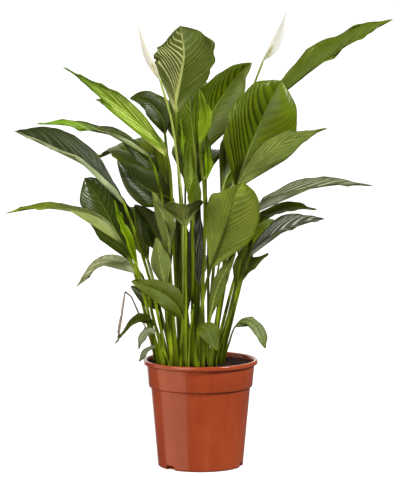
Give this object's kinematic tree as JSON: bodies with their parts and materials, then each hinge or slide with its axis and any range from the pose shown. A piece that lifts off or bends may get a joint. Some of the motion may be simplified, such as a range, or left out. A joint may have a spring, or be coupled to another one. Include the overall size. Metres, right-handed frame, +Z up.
{
  "type": "potted peace lily",
  "caption": "Leafy peace lily with long-stalked pointed leaves and small white blooms, growing in a round stepped nursery pot of peat.",
  "frame": {"origin": "centre of the pot's flat underside, on the pot's axis", "axes": "+Z up along the pot's axis; the plant's fuller front, with the hanging front leaves, looks towards -Y; +X to the right as seen from the front"},
  "size_m": [0.5745, 0.3687, 0.6761],
  "materials": {
    "pot_plastic": "terracotta-coloured moulded polypropylene, satin",
    "peat": "damp crumbly peat, matt",
    "leaf": "living leaf, glossy above and satin below",
    "young_leaf": "living young leaf, satin",
    "withered_leaf": "dry leaf, matt",
    "flower_stalk": "living stalk, satin",
    "spathe": "living white spathe, satin",
    "spadix": "small knobbly flowers, matt"
  },
  "bodies": {
    "root": {"flower_left_spadix": "spadix", "flower_left_spathe": "spathe", "flower_left_stalk": "flower_stalk", "flower_right_spadix": "spadix", "flower_right_spathe": "spathe", "flower_right_stalk": "flower_stalk", "leaf_back_high": "leaf", "leaf_back_high_right": "leaf", "leaf_back_left": "leaf", "leaf_back_low_left": "leaf", "leaf_back_low_right": "leaf", "leaf_back_lowest": "leaf", "leaf_back_middle": "leaf", "leaf_back_right": "leaf", "leaf_bud": "young_leaf", "leaf_front_pale": "leaf", "leaf_inner_dark": "leaf", "leaf_inner_left_dark": "leaf", "leaf_inner_left_narrow": "leaf", "leaf_inner_right": "leaf", "leaf_left_dark_long": "leaf", "leaf_left_drooping": "leaf", "leaf_left_front": "leaf", "leaf_left_glossy": "leaf", "leaf_left_high": "leaf", "leaf_left_high_back": "leaf", "leaf_left_inner": "leaf", "leaf_left_long": "leaf", "leaf_left_low_long": "leaf", "leaf_left_narrow_back": "leaf", "leaf_left_rolled": "young_leaf", "leaf_left_shaded_high": "leaf", "leaf_low_folded": "leaf", "leaf_low_folded_small": "leaf", "leaf_low_front": "leaf", "leaf_low_middle": "leaf", "leaf_low_right": "leaf", "leaf_low_shaded": "leaf", "leaf_middle_dark": "leaf", "leaf_middle_facing": "leaf", "leaf_middle_front": "leaf", "leaf_middle_pale": "leaf", "leaf_middle_upright": "leaf", "leaf_over_rim": "leaf", "leaf_right_big": "leaf", "leaf_right_dark": "leaf", "leaf_right_front": "leaf", "leaf_right_high": "leaf", "leaf_right_long": "leaf", "leaf_right_shaded": "leaf", "leaf_right_small": "leaf", "leaf_right_tiny": "leaf", "leaf_spear": "young_leaf", "leaf_top": "leaf", "leaf_top_right": "leaf", "leaf_withered": "withered_leaf", "leaf_young_bright": "young_leaf", "leaf_young_small": "young_leaf", "pot": "pot_plastic", "soil": "peat"}
  },
  "joints": []
}
